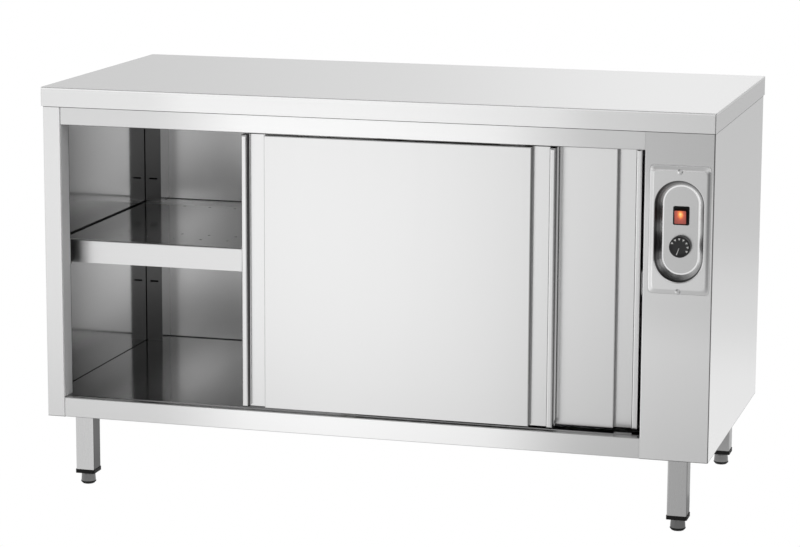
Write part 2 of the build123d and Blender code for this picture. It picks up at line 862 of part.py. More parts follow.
# ---- Control plate: bevelled rectangle with a drafted, round-ended recess ------------------------
recess_taper = degrees(atan(recess_draft / recess_depth))
floor_back = recess_floor + plate_sheet
plate_middle = (control_x + plate_shift_x, control_z + plate_shift_z)
with BuildPart() as control_plate:
    with BuildSketch(Plane.XZ.offset(-body_front)):
        with Locations(plate_middle):
            Rectangle(plate_width, plate_height)
    with BuildSketch(Plane.XZ.offset(-plate_face)):
        with Locations(plate_middle):
            Rectangle(plate_width - 2 * plate_bevel, plate_height - 2 * plate_bevel)
    loft()
    with BuildSketch(Plane.XZ.offset(-plate_face)):
        with Locations((control_x, control_z)):
            SlotOverall(recess_height + 2 * plate_sheet, recess_width + 2 * plate_sheet, rotation=90)
    extrude(amount=-(recess_depth + plate_sheet), taper=recess_taper)
    with BuildSketch(Plane.XZ.offset(-plate_face)):
        with Locations((control_x, control_z)):
            SlotOverall(recess_height, recess_width, rotation=90)
    extrude(amount=-recess_depth, taper=recess_taper, mode=Mode.SUBTRACT)
    with BuildSketch(Plane.XZ.offset(-plate_face)):
        with Locations((control_x, control_z)):
            with GridLocations(0, screw_spread, 1, 2):
                Circle(screw_shank + screw_gap)
        with Locations((control_x, knob_z)):
            Circle(shaft_radius + screw_gap)
        with Locations((control_x, switch_z)):
            Rectangle(switch_body_width + 2 * switch_gap, switch_body_height + 2 * switch_gap)
    extrude(amount=-2 * recess_depth, mode=Mode.SUBTRACT)
write_piece(control_plate, "control_plate")

# ---- Screws of the control plate and of the service cover, all of one kind -----------------------
cover_screw_z = cover_height / 2 - cover_screw_inset
with BuildPart() as panel_screws:
    for face_y, outward, x, low_z, high_z in (
        (plate_face, 1, control_x, control_z - screw_spread / 2, control_z + screw_spread / 2),
        (body_back, -1, cover_x, cover_z - cover_screw_z, cover_z + cover_screw_z),
    ):
        for screw_z in (low_z, high_z):
            with BuildSketch(Plane.XZ.offset(-face_y)):
                with Locations((x, screw_z)):
                    Circle(screw_head)
            extrude(amount=outward * screw_head_height)
            with BuildSketch(Plane.XZ.offset(-face_y)):
                with Locations((x, screw_z)):
                    Circle(screw_shank)
            extrude(amount=-outward * screw_length)
            rim_y = face_y - outward * screw_head_height
            rims = panel_screws.edges().filter_by(GeomType.CIRCLE)
            rim = rims.filter_by(lambda e: abs(e.center().Y - rim_y) + abs(e.center().Z - screw_z) < seam)
            fillet(rim, radius=screw_head_round)
write_piece(panel_screws, "panel_screws")

# ---- Lit rocker switch ---------------------------------------------------------------------------
bezel_face = recess_floor - bezel_rise
pivot_y = bezel_face + rocker_pivot_depth
with BuildPart() as switch_housing:
    with BuildSketch(Plane.XZ.offset(-recess_floor)):
        with Locations((control_x, switch_z)):
            RectangleRounded(bezel_width, bezel_height, bezel_radius)
    extrude(amount=bezel_rise)
    fillet(switch_housing.faces().sort_by(Axis.Y)[0].edges(), radius=edge_softening)
    with BuildSketch(Plane.XZ.offset(-recess_floor)):
        with Locations((control_x, switch_z)):
            Rectangle(switch_body_width, switch_body_height)
    extrude(amount=-switch_body_depth)
    with BuildSketch(Plane.XZ.offset(-bezel_face)):
        with Locations((control_x, switch_z)):
            Rectangle(rocker_width + 2 * rocker_side_gap, 2 * pocket_half_height)
    extrude(amount=-pocket_depth, mode=Mode.SUBTRACT)
    with BuildSketch(Plane.YZ.offset(control_x - switch_body_width / 2)):
        with Locations((pivot_y + rocker_pin, switch_z)):
            Circle(rocker_pin + running_gap)
    extrude(amount=switch_body_width, mode=Mode.SUBTRACT)
write_piece(switch_housing, "switch_housing")

tilt = radians(rocker_tilt)
rocker_plane = Plane(
    origin=(control_x - rocker_width / 2, pivot_y + rocker_pin, switch_z),
    x_dir=(0, -cos(tilt), -sin(tilt)),
    z_dir=(-1, 0, 0),
)
with BuildPart() as rocker:
    with BuildSketch(rocker_plane):
        with BuildLine():
            Polyline(
                (-rocker_back, -rocker_half_height + edge_softening),
                (rocker_proud + rocker_pin, -rocker_half_height),
                (rocker_dip + rocker_pin, 0),
                (rocker_proud + rocker_pin, rocker_half_height),
                (-rocker_back, rocker_half_height - edge_softening),
                close=True,
            )
        make_face()
    extrude(amount=-rocker_width)
    with BuildSketch(Plane.YZ.offset(control_x - rocker_width / 2 - 2 * rocker_side_gap)):
        with Locations((pivot_y + rocker_pin, switch_z)):
            Circle(rocker_pin)
    extrude(amount=rocker_width + 4 * rocker_side_gap)
write_piece(rocker, "rocker")

# ---- Thermostat: body behind the recess, shaft, and knob -----------------------------------------
knob_back = recess_floor - knob_clearance
knob_face = knob_back - knob_height
with BuildPart() as thermostat:
    with BuildSketch(Plane.XZ.offset(-floor_back)):
        with Locations((control_x, knob_z)):
            Rectangle(thermostat_width, thermostat_height)
    extrude(amount=-thermostat_depth)
    fillet(thermostat.edges().filter_by(Axis.Y), radius=bend)
    with BuildSketch(Plane.XZ.offset(-floor_back)):
        with Locations((control_x, knob_z)):
            Circle(shaft_radius + running_gap)
    extrude(amount=-(shaft_in_body + knob_clearance), mode=Mode.SUBTRACT)
write_piece(thermostat, "thermostat")

with BuildPart() as thermostat_shaft:
    with BuildSketch(Plane.XZ.offset(-(knob_back - shaft_in_knob))):
        with Locations((control_x, knob_z)):
            Circle(shaft_radius)
    extrude(amount=-(shaft_in_knob + floor_back - knob_back + shaft_in_body))
write_piece(thermostat_shaft, "thermostat_shaft")

with BuildPart() as knob:
    with BuildSketch(Plane.XZ.offset(-knob_back)):
        with Locations((control_x, knob_z)):
            Circle(knob_radius)
    extrude(amount=knob_height, taper=degrees(atan(knob_draft / knob_height)))
    fillet(knob.edges().sort_by(Axis.Y)[0], radius=knob_edge)
    with BuildSketch(Plane.XZ.offset(-knob_back)):
        with Locations((control_x, knob_z)):
            Circle(shaft_radius + knob_fit)
    extrude(amount=shaft_in_knob + knob_fit, mode=Mode.SUBTRACT)
write_piece(knob, "knob")

# ---- Fan heater: housing, motor, rotor and tubular element on the back of the partition ----------
housing_x = partition_x + skin
housing_back = housing_x + housing_depth
tail_y = element_radius * sin(radians(element_gap_angle))
tail_z = element_radius * cos(radians(element_gap_angle))
with BuildPart() as fan_housing:
    block(
        (housing_x, fan_y - housing_width / 2, fan_z - housing_height / 2),
        (housing_back, fan_y + housing_width / 2, fan_z + housing_height / 2),
    )
    offset(amount=-housing_sheet, openings=fan_housing.faces().sort_by(Axis.X)[0])
    with BuildSketch(Plane.YZ.offset(housing_back - housing_depth / 2)):
        with Locations((fan_y, fan_z)):
            Circle(hub_radius)
        with Locations((fan_y - tail_y, fan_z + tail_z), (fan_y + tail_y, fan_z + tail_z)):
            Circle(element_tube + screw_gap)
    extrude(amount=housing_depth, mode=Mode.SUBTRACT)
write_piece(fan_housing, "fan_housing")

with BuildPart() as fan_motor:
    with BuildSketch(Plane.YZ.offset(housing_back)):
        with Locations((fan_y, fan_z)):
            Circle(motor_radius)
    extrude(amount=motor_length)
    fillet(fan_motor.faces().sort_by(Axis.X)[-1].edges(), radius=bend)
    with BuildSketch(Plane.YZ.offset(housing_back)):
        with Locations((fan_y, fan_z)):
            Circle(motor_shaft + running_gap)
    extrude(amount=motor_length / 2, mode=Mode.SUBTRACT)
write_piece(fan_motor, "fan_motor")

rotor_front = housing_x + rotor_gap
rotor_back = rotor_front + rotor_width
with BuildPart() as fan_rotor:
    with BuildSketch(Plane.YZ.offset(rotor_back)):
        with Locations((fan_y, fan_z)):
            Circle(rotor_radius)
    extrude(amount=-rotor_plate)
    with BuildSketch(Plane.YZ.offset(rotor_front)):
        with Locations((fan_y, fan_z)):
            Circle(rotor_radius)
            Circle(rotor_radius - blade_chord, mode=Mode.SUBTRACT)
    extrude(amount=rotor_plate)
    with BuildSketch(Plane.YZ.offset(rotor_front)):
        with Locations((fan_y, fan_z)):
            with PolarLocations(rotor_radius - blade_chord / 2, blade_count):
                Rectangle(blade_chord - rotor_plate, rotor_plate)
    extrude(amount=rotor_width)
    with BuildSketch(Plane.YZ.offset(rotor_front)):
        with Locations((fan_y, fan_z)):
            Circle(hub_radius - rotor_plate)
    extrude(amount=rotor_width)
    with BuildSketch(Plane.YZ.offset(rotor_front)):
        with Locations((fan_y, fan_z)):
            Circle(motor_shaft)
    extrude(amount=housing_back + motor_length / 2 - rotor_plate - rotor_front)
write_piece(fan_rotor, "fan_rotor")

element_x = housing_back - housing_sheet - element_gap - element_tube
ring_plane = Plane(origin=(element_x, fan_y, fan_z), x_dir=(0, 1, 0), z_dir=(1, 0, 0))
with BuildPart() as heating_element:
    with BuildLine(ring_plane) as element_path:
        CenterArc((0, 0), element_radius, 90 + element_gap_angle, 360 - 2 * element_gap_angle)
    with BuildSketch(Plane(origin=element_path.line @ 0, z_dir=element_path.line % 0)):
        Circle(element_tube)
    sweep(path=element_path.line)
    with BuildSketch(Plane.YZ.offset(element_x - element_tube)):
        with Locations((fan_y - tail_y, fan_z + tail_z), (fan_y + tail_y, fan_z + tail_z)):
            Circle(element_tube)
    extrude(amount=housing_back + element_tail - element_x + element_tube)
write_piece(heating_element, "heating_element")

with BuildPart() as air_grille:
    with BuildSketch(Plane.YZ.offset(partition_x - skin)):
        with Locations((fan_y, fan_z)):
            Rectangle(grille_width, grille_height)
            with GridLocations(grille_column_pitch, grille_row_pitch, grille_columns, grille_rows):
                SlotOverall(grille_slot_length, grille_slot_width, mode=Mode.SUBTRACT)
    extrude(amount=skin)
write_piece(air_grille, "air_grille")

# ---- Service cover at the back, terminal block and gland in the compartment ----------------------
with BuildPart() as service_cover:
    with BuildSketch(Plane.XZ.offset(-(body_back - skin))):
        with Locations((cover_x, cover_z)):
            Rectangle(cover_width, cover_height)
            with GridLocations(0, 2 * cover_screw_z, 1, 2):
                Circle(screw_shank + screw_gap, mode=Mode.SUBTRACT)
        with Locations((cover_x, vent_z)):
            with GridLocations(0, vent_pitch, 1, vent_count):
                SlotOverall(vent_width, vent_height, mode=Mode.SUBTRACT)
    extrude(amount=-skin)
write_piece(service_cover, "service_cover")

with BuildPart() as terminal_block:
    block(
        (cover_x - terminal_width / 2, terminal_y - terminal_depth / 2, pan_top),
        (cover_x + terminal_width / 2, terminal_y + terminal_depth / 2, pan_top + terminal_height),
    )
    with BuildSketch(Plane.XY.offset(pan_top + terminal_height)):
        with Locations((cover_x, terminal_y)):
            with GridLocations(terminal_width / terminal_ways, terminal_depth / 2, terminal_ways, 2):
                Circle(terminal_screw_radius)
    extrude(amount=-terminal_height / 2, mode=Mode.SUBTRACT)
write_piece(terminal_block, "terminal_block")

gland_seat = body_bottom + skin
with BuildPart() as cable_gland:
    with BuildSketch(Plane.XY.offset(gland_seat)):
        with Locations((cover_x, gland_y)):
            RegularPolygon(gland_hex / 2, 6, major_radius=False)
    extrude(amount=-gland_hex_height)
    with BuildSketch(Plane.XY.offset(gland_seat - gland_hex_height)):
        with Locations((cover_x, gland_y)):
            Circle(gland_cap_radius)
    extrude(amount=-gland_cap_height)
    fillet(cable_gland.faces().sort_by(Axis.Z)[0].edges(), radius=bend)
    with BuildSketch(Plane.XY.offset(gland_seat)):
        with Locations((cover_x, gland_y)):
            Circle(gland_radius)
    extrude(amount=skin + gland_inside)
    with BuildSketch(Plane.XY.offset(pan_top)):
        with Locations((cover_x, gland_y)):
            RegularPolygon(gland_hex / 2, 6, major_radius=False)
    extrude(amount=gland_hex_height)
    with BuildSketch(Plane.XY.offset(gland_seat - gland_hex_height - gland_cap_height)):
        with Locations((cover_x, gland_y)):
            Circle(gland_cord_radius)
    extrude(amount=gland_cap_height + gland_hex_height + skin + gland_inside, mode=Mode.SUBTRACT)
write_piece(cable_gland, "cable_gland")


# ---- Legs: square tube welded to a plate in the base, plastic cap and levelling foot -------------
cap_top = cap_bottom + cap_height


def leg(name, x, y):
    """One leg tube with its mounting plate on the base pan."""
    with BuildPart() as tube:
        with BuildSketch(Plane.XY.offset(cap_top)):
            with Locations((x, y)):
                RectangleRounded(leg_side, leg_side, leg_corner)
                RectangleRounded(
                    leg_side - 2 * leg_wall,
                    leg_side - 2 * leg_wall,
                    leg_corner - leg_wall,
                    mode=Mode.SUBTRACT,
                )
        extrude(amount=pan_top - cap_top)
        with BuildSketch(Plane.XY.offset(pan_top)):
            with Locations((x, y)):
                Rectangle(leg_plate, leg_plate)
        extrude(amount=leg_plate_thickness)
    write_piece(tube, name)


def levelling_foot(name, x, y):
    """A flared sleeve on a spindle, and the plastic pad that it stands on."""
    sleeve_top = cap_bottom - foot_gap
    flare = degrees(atan((foot_base_radius - foot_top_radius) / (sleeve_top - foot_pad_height)))
    with BuildPart() as foot:
        with BuildSketch(Plane.XY.offset(foot_pad_height)):
            with Locations((x, y)):
                Circle(foot_base_radius)
        extrude(amount=sleeve_top - foot_pad_height, taper=flare)
        fillet(foot.faces().sort_by(Axis.Z)[-1].edges(), radius=bend)
        with BuildSketch(Plane.XY.offset(foot_pad_height)):
            with Locations((x, y)):
                Circle(spindle_radius)
        extrude(amount=sleeve_top - foot_pad_height + spindle_length)
        with BuildSketch():
            with Locations((x, y)):
                Circle(foot_base_radius)
        extrude(amount=foot_pad_height)
        chamfer(foot.faces().sort_by(Axis.Z)[0].edges(), length=foot_pad_chamfer)
    write_piece(foot, name)


with BuildPart() as leg_caps:
    cap_side = leg_side + 2 * cap_overhang
    plug_side = leg_side - 2 * leg_wall
    with BuildSketch(Plane.XY.offset(cap_bottom)):
        with Locations((0, leg_middle_y)):
            with GridLocations(2 * leg_x, leg_spread_y, 2, 2):
                RectangleRounded(cap_side, cap_side, leg_corner)
    extrude(amount=cap_height)
    with BuildSketch(Plane.XY.offset(cap_top)):
        with Locations((0, leg_middle_y)):
            with GridLocations(2 * leg_x, leg_spread_y, 2, 2):
                RectangleRounded(plug_side - 2 * seam, plug_side - 2 * seam, leg_corner - leg_wall)
    extrude(amount=cap_plug)
    with BuildSketch(Plane.XY.offset(cap_bottom)):
        with Locations((0, leg_middle_y)):
            with GridLocations(2 * leg_x, leg_spread_y, 2, 2):
                Circle(spindle_radius + spindle_gap)
    extrude(amount=cap_height + cap_plug, mode=Mode.SUBTRACT)
write_piece(leg_caps, "leg_caps")

for depth_name, y in (("front", front_leg_y), ("rear", rear_leg_y)):
    for side_name, x in (("left", -leg_x), ("right", leg_x)):
        leg(f"leg_{depth_name}_{side_name}", x, y)
        levelling_foot(f"foot_{depth_name}_{side_name}", x, y)
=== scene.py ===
from math import pi

import bpy
import numpy as np
from mathutils import Matrix


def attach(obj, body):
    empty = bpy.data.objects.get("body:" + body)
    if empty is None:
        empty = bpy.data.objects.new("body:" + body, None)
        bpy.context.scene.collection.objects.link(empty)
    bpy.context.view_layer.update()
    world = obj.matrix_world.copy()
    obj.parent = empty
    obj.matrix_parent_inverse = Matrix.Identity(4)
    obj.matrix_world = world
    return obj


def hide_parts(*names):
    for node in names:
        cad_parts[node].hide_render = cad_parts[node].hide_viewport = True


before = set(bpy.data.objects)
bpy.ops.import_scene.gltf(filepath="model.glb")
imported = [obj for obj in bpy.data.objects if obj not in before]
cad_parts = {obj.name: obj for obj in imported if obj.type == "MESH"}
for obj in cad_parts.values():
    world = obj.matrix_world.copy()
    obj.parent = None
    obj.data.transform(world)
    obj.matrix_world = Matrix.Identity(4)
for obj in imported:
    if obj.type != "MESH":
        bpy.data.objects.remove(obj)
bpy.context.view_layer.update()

# ---- Viewpoint ---------------------------------------------------------------------------
# A long lens stands to the right of the cabinet and a little above the worktop, and looks down
# on it. The lens is shifted slightly so that the uprights stay nearly parallel.
scene = bpy.context.scene
scene.view_settings.view_transform = "Standard"
camera_place = (1.529, -5.552, 1.536)
camera_swing, camera_dip, camera_roll = 0.2723, 0.1743, 0.0046
lens = bpy.data.cameras.new("studio_lens")
lens.sensor_width = 36.0
lens.lens = 124.07
lens.shift_y = -0.0481
lens.clip_start, lens.clip_end = 0.1, 100.0
camera = bpy.data.objects.new("studio_camera", lens)
scene.collection.objects.link(camera)
camera.matrix_world = (
    Matrix.Translation(camera_place)
    @ Matrix.Rotation(camera_swing, 4, "Z")
    @ Matrix.Rotation(pi / 2 - camera_dip, 4, "X")
    @ Matrix.Rotation(camera_roll, 4, "Z")
)
scene.camera = camera


# ---- Studio ------------------------------------------------------------------------------
# A pale floor runs out to a white surround. Steel shows the floor as painted light: a fan of soft
# pale bands in front of the cabinet, dimmer near it, and a glow that fades with distance behind it.
def shader_tree(material):
    """Empties a material's tree and returns its nodes, a link function and the output node."""
    material.use_nodes = True
    tree = material.node_tree
    tree.nodes.clear()
    return tree.nodes, tree.links.new, tree.nodes.new("ShaderNodeOutputMaterial")


def fill(link, sockets, values):
    """Gives each socket its value: a plain value is set on it, another node's output is linked."""
    for socket, value in zip(sockets, values):
        if isinstance(value, (int, float, tuple)):
            socket.default_value = value
        else:
            link(value, socket)


def number(n, link, operation, *values):
    """One Math node: the operation on its values, each a socket or a plain number."""
    node = n.new("ShaderNodeMath")
    node.operation = operation
    fill(link, node.inputs, values)
    return node.outputs[0]


def mixed(n, link, share, first, second, kind="FLOAT"):
    """One Mix node: the share blends the first value into the second."""
    node = n.new("ShaderNodeMix")
    node.data_type = kind
    fill(link, [node.inputs[name] for name in ("Factor", "A", "B")], (share, first, second))
    return node.outputs["Result"]


def ranged(n, link, value, source=(0.0, 1.0), target=(0.0, 1.0), curve="LINEAR"):
    """One Map Range node: carries the value from the source span to the target span."""
    node = n.new("ShaderNodeMapRange")
    node.interpolation_type = curve
    ends = [node.inputs[name] for name in ("Value", "From Min", "From Max", "To Min", "To Max")]
    fill(link, ends, (value, *source, *target))
    return node.outputs["Result"]


def tones(n, link, value, low, high, *stops):
    """A ramp of grey tones: each stop is a place between low and high and the tone there."""
    ramp = n.new("ShaderNodeValToRGB")
    ramp.color_ramp.interpolation = "EASE"
    elements = ramp.color_ramp.elements
    while len(elements) < len(stops):
        elements.new(0.5)
    for element, (place, tone) in zip(elements, stops):
        element.position = (place - low) / (high - low)
        element.color = (tone, tone, tone, 1)
    link(ranged(n, link, value, (low, high)), ramp.inputs["Fac"])
    return ramp.outputs["Color"]


def parted(n, link, socket_name):
    """The X, Y and Z outputs of the place that Texture Coordinate gives under that name."""
    place = n.new("ShaderNodeTexCoord")
    apart = n.new("ShaderNodeSeparateXYZ")
    link(place.outputs[socket_name], apart.inputs[0])
    return apart.outputs


def either(n, link, share, first, second):
    """One Mix Shader node: the share blends the first shader into the second."""
    node = n.new("ShaderNodeMixShader")
    fill(link, node.inputs, (share, first, second))
    return node.outputs[0]


floor_half = 30
floor_corners = [(-floor_half, -floor_half, 0), (floor_half, -floor_half, 0)]
floor_corners += [(floor_half, floor_half, 0), (-floor_half, floor_half, 0)]
floor_mesh = bpy.data.meshes.new("studio_floor")
floor_mesh.from_pydata(floor_corners, [], [(0, 1, 2, 3)])
floor = bpy.data.objects.new("studio_floor", floor_mesh)
scene.collection.objects.link(floor)

floor_paint = bpy.data.materials.new("studio_floor")
n, link, out = shader_tree(floor_paint)
ray = n.new("ShaderNodeLightPath")
spot = parted(n, link, "Object")
fan_x, fan_y = 1.53, 4.91
across = number(n, link, "SUBTRACT", spot["X"], fan_x)
away = number(n, link, "SUBTRACT", fan_y, spot["Y"])
fan = number(n, link, "DIVIDE", across, away)
fan_stops = (
    (-0.5, 1.0),
    (-0.42, 1.03),
    (-0.36, 1.1),
    (-0.31, 1.2),
    (-0.25, 1.1),
    (-0.21, 0.82),
    (-0.165, 0.70),
    (0.0, 0.5),
    (0.12, 0.35),
    (0.4, 0.1),
)
near_stops = ((-6.5, 1.15), (-5.2, 1.1), (-3.7, 1.05), (-2.4, 1.0), (-1.6, 0.92), (-0.9, 0.8))
far_stops = ((0.3, 0.93), (1.0, 0.92), (2.0, 0.78), (3.4, 0.64), (5.5, 0.63))
bands = tones(n, link, fan, -0.6, 0.6, *fan_stops)
fade = tones(n, link, spot["Y"], -7.0, 0.0, *near_stops)
bands = number(n, link, "MULTIPLY", bands, fade)
glow = tones(n, link, spot["Y"], 0.0, 6.0, *far_stops)
behind = number(n, link, "GREATER_THAN", spot["Y"], 0.0)
# Painted light: only glossy rays see this emission of bands and glow; camera rays see plain white.
pool = n.new("ShaderNodeEmission")
link(mixed(n, link, behind, bands, glow, kind="RGBA"), pool.inputs["Color"])
white = n.new("ShaderNodeEmission")
matt = n.new("ShaderNodeBsdfDiffuse")
matt.inputs["Color"].default_value = (0.86, 0.86, 0.86, 1)
lit = either(n, link, ray.outputs["Is Glossy Ray"], matt.outputs[0], pool.outputs[0])
link(either(n, link, ray.outputs["Is Camera Ray"], lit, white.outputs[0]), out.inputs["Surface"])
floor_mesh.materials.append(floor_paint)

air = bpy.data.worlds.new("studio_air")
scene.world = air
air.use_nodes = True
n, link = air.node_tree.nodes, air.node_tree.links.new
n.clear()
out = n.new("ShaderNodeOutputWorld")
ray = n.new("ShaderNodeLightPath")
aim = parted(n, link, "Generated")
behind_stops = (
    (-0.9, 0.95),
    (-0.5, 0.72),
    (-0.36, 0.70),
    (-0.28, 0.79),
    (-0.17, 0.99),
    (0.1, 0.85),
    (0.4, 0.3),
    (0.7, 0.03),
)
ahead_stops = ((-0.9, 0.8), (-0.5, 0.3), (-0.1, 0.3), (0.1, 0.7), (0.35, 0.75), (0.5, 0.3), (0.62, 0.62))
behind = tones(n, link, aim["X"], -1.0, 1.0, *behind_stops)
ahead = tones(n, link, aim["X"], -1.0, 1.0, *ahead_stops)
turned_back = tones(n, link, aim["Y"], -1.0, 1.0, (-0.2, 0.0), (0.2, 1.0))
sky = n.new("ShaderNodeBackground")
link(mixed(n, link, turned_back, ahead, behind, kind="RGBA"), sky.inputs["Color"])
white = n.new("ShaderNodeBackground")
white.inputs["Color"].default_value = (1, 1, 1, 1)
link(either(n, link, ray.outputs["Is Camera Ray"], sky.outputs[0], white.outputs[0]), out.inputs["Surface"])


# ---- Worktop -----------------------------------------------------------------------------
# A folded tray of satin stainless steel with a particle board core and glued zinc coated
# braces. The steel is ground along its length, which leaves a fine one-way grain.
def noise(n, link, place, scale, detail):
    """One Noise node: its value at the place, with that many waves to the metre."""
    node = n.new("ShaderNodeTexNoise")
    node.inputs["Scale"].default_value = scale
    node.inputs["Detail"].default_value = detail
    link(place, node.inputs["Vector"])
    return node.outputs["Fac"]


def raised(n, link, height, strength, distance, *under):
    """One Bump node: the height tips the normal, on top of the normal under it if one is given."""
    node = n.new("ShaderNodeBump")
    fill(link, [node.inputs["Strength"], node.inputs["Distance"]], (strength, distance))
    fill(link, [node.inputs["Height"], node.inputs["Normal"]], (height, *under))
    return node.outputs["Normal"]


def skinned(n, link, out, **values):
    """One Principled BSDF on the output: underscores in the names stand for spaces."""
    skin = n.new("ShaderNodeBsdfPrincipled")
    fill(link, [skin.inputs[name.replace("_", " ")] for name in values], values.values())
    link(skin.outputs[0], out.inputs["Surface"])


def satin_sheet(name, tone, rough, grain, *zones):
    """Brushed steel: noise stretched along the grain varies tone and roughness, and a slow
    wave bends the reflections. Each zone gives an axis, a limit, the width over which it
    blends, and the tone and roughness of what lies nearer the middle than that limit, or
    beyond it where the width is negative."""
    tone_swing, rough_swing = 0.015, 0.1
    scratch_depth, wave_depth, waves_per_metre = 0.0001, 0.001, 3.0
    steel = bpy.data.materials.new(name)
    n, link, out = shader_tree(steel)
    place = n.new("ShaderNodeTexCoord").outputs["Object"]
    stretch = n.new("ShaderNodeMapping")
    stretch.inputs["Scale"].default_value = grain
    link(place, stretch.inputs["Vector"])
    streak = noise(n, link, stretch.outputs["Vector"], 1.0, 3.0)
    wave = noise(n, link, place, waves_per_metre, 0.0)
    spot = parted(n, link, "Object")
    # Most zones paint light and shade into the tone: lighter or darker bands, painted highlights and painted
    # shadow lines; a few give a face its own finish.
    for axis, limit, blend, zone_tone, zone_rough in zones:
        from_middle = number(n, link, "ABSOLUTE", spot[axis])
        edges = (limit + blend / 2, limit - blend / 2)
        within = ranged(n, link, from_middle, edges, curve="SMOOTHSTEP")
        tone = mixed(n, link, within, tone, zone_tone)
        rough = mixed(n, link, within, rough, zone_rough)
    tone_drift = mixed(n, link, streak, 1 - tone_swing, 1 + tone_swing)
    rough_drift = mixed(n, link, streak, 1 - rough_swing, 1 + rough_swing)
    shade = number(n, link, "MULTIPLY", tone_drift, tone)
    gloss = number(n, link, "MULTIPLY", rough_drift, rough)
    scratch = raised(n, link, streak, 0.006, scratch_depth)
    sway = raised(n, link, wave, 0.3, wave_depth, scratch)
    skinned(n, link, out, Metallic=1.0, Base_Color=shade, Roughness=gloss, Normal=sway)
    return steel


def speckled(name, low, high, size, rough, relief, shine=0.5):
    """A dull finish in two tones: a fine noise of the given size mixes them and lifts the skin."""
    finish = bpy.data.materials.new(name)
    n, link, out = shader_tree(finish)
    fleck = noise(n, link, n.new("ShaderNodeTexCoord").outputs["Object"], 1 / size, 4.0)
    blend = mixed(n, link, fleck, (*low, 1), (*high, 1), kind="RGBA")
    lift = raised(n, link, fleck, 0.2, relief)
    skinned(n, link, out, Roughness=rough, Specular_IOR_Level=shine, Base_Color=blend, Normal=lift)
    return finish


def zinc_coat(name):
    """Zinc coated sheet: crystal cells of differing tone and gloss about 6 mm across."""
    cells_per_metre = 160.0
    zinc = bpy.data.materials.new(name)
    n, link, out = shader_tree(zinc)
    crystal = n.new("ShaderNodeTexVoronoi")
    crystal.inputs["Scale"].default_value = cells_per_metre
    link(n.new("ShaderNodeTexCoord").outputs["Object"], crystal.inputs["Vector"])
    cell = n.new("ShaderNodeSeparateColor")
    link(crystal.outputs["Color"], cell.inputs[0])
    tone = ranged(n, link, cell.outputs[0], target=(0.42, 0.6))
    gloss = ranged(n, link, cell.outputs[1], target=(0.32, 0.5))
    skinned(n, link, out, Metallic=1.0, Base_Color=tone, Roughness=gloss)
    return zinc


def finish_nodes(material, *names):
    """Gives each carried-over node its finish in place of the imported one."""
    for name in names:
        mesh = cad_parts[name].data
        mesh.materials.clear()
        mesh.materials.append(material)


along_grain, upright_grain = (2, 500, 500), (500, 500, 2)
worktop_top = 0.850
# Painted light: the worktop's edge is lighter in the middle of its length, and a painted highlight runs along
# its rounded top edge.
painted_edge_light = ("X", 0.42, 0.12, 0.9, 0.26)
painted_edge_highlight = ("Z", worktop_top - 0.004, -0.001, 1.0, 0.3)
top_face = ("Z", worktop_top - 0.0002, -0.0001, 0.8, 0.26)
lengthwise = satin_sheet("satin_lengthwise", 0.8, 0.26, along_grain, painted_edge_light, painted_edge_highlight, top_face)
zinc = zinc_coat("zinc_coat")
particle_board = speckled("particle_board", (0.36, 0.25, 0.14), (0.62, 0.5, 0.33), 0.004, 0.85, 0.0006)
finish_nodes(lengthwise, "worktop")
finish_nodes(particle_board, "worktop_core")
finish_nodes(zinc, "worktop_braces", "base_pan")

# ---- Outer panels and front frame --------------------------------------------------------
# Folded sheets of the same satin steel, spot welded into a box with a frame round its front
# opening. Thin lines under the worktop and at the bottom, and a band at the column's corner, are
# painted shade; the side sheets are bright inside, with a painted shadow where the shelf meets them.
body_top, body_bottom, body_side = 0.810, 0.155, 0.698
floor_z, shelf_z = 0.198, 0.520
# Painted shade: thin near black lines along the panels' top edges under the worktop and along their bottom
# edges.
top_shade_line = ("Z", body_top - 0.002, -0.0004, 0.12, 0.3)
side_shade_line = ("Z", body_top - 0.0028, -0.0004, 0.12, 0.3)
bottom_shade_line = ("Z", body_bottom + 0.0011, 0.0004, 0.2, 0.3)
side_inside = ("X", body_side - 0.0005, 0.0002, 0.93, 0.1)
shelf_shadow = ("Z", shelf_z + 0.003, 0.0006, 0.03, 0.3)
below_shadow = ("Z", shelf_z, 0.0006, 0.93, 0.1)
side_outside = ("X", body_side - 0.0001, -0.0001, 0.88, 0.26)
side_flange = ("Y", 0.3, -0.002, 0.88, 0.26)
side_zones = (side_inside, shelf_shadow, below_shadow, side_outside, side_flange, side_shade_line, bottom_shade_line)
# Painted light: the stile's return is given the full tone and full roughness, so it reads lighter than the
# stile's face.
stile_return = ("X", body_side - 0.0364, 0.0006, 1.0, 1.0)
# Painted light and shade: the column is darker towards its top and lighter towards its foot, and a band of
# painted shade runs down its corner.
column_head = ("Z", 0.70, -0.12, 0.62, 0.26)
column_foot = ("Z", 0.42, 0.12, 0.9, 0.26)
column_corner = ("X", body_side - 0.0012, -0.0006, 0.2, 0.3)
column_zones = (column_head, column_foot, column_corner, top_shade_line, bottom_shade_line)
# Painted light: both rails are lighter in the middle than towards their ends.
rail_middle = ("X", 0.36, 0.25, 0.94, 0.26)
sill_middle = ("X", 0.36, 0.25, 1.0, 0.26)
side_sheet = satin_sheet("side_sheet", 0.88, 0.26, upright_grain, *side_zones)
stile_sheet = satin_sheet("stile_sheet", 0.8, 0.26, upright_grain, stile_return, top_shade_line, bottom_shade_line)
column_sheet = satin_sheet("column_sheet", 0.8, 0.26, upright_grain, *column_zones)
top_sheet = satin_sheet("top_rail_sheet", 0.7, 0.26, along_grain, rail_middle, top_shade_line)
bottom_sheet = satin_sheet("bottom_rail_sheet", 0.77, 0.26, along_grain, sill_middle, bottom_shade_line)
cover_sheet = satin_sheet("cover_sheet", 0.8, 0.26, upright_grain)
finish_nodes(side_sheet, "left_side_panel", "right_side_panel")
finish_nodes(stile_sheet, "left_stile")
finish_nodes(column_sheet, "control_column")
finish_nodes(cover_sheet, "service_cover")
finish_nodes(top_sheet, "top_rail")
finish_nodes(bottom_sheet, "bottom_rail")

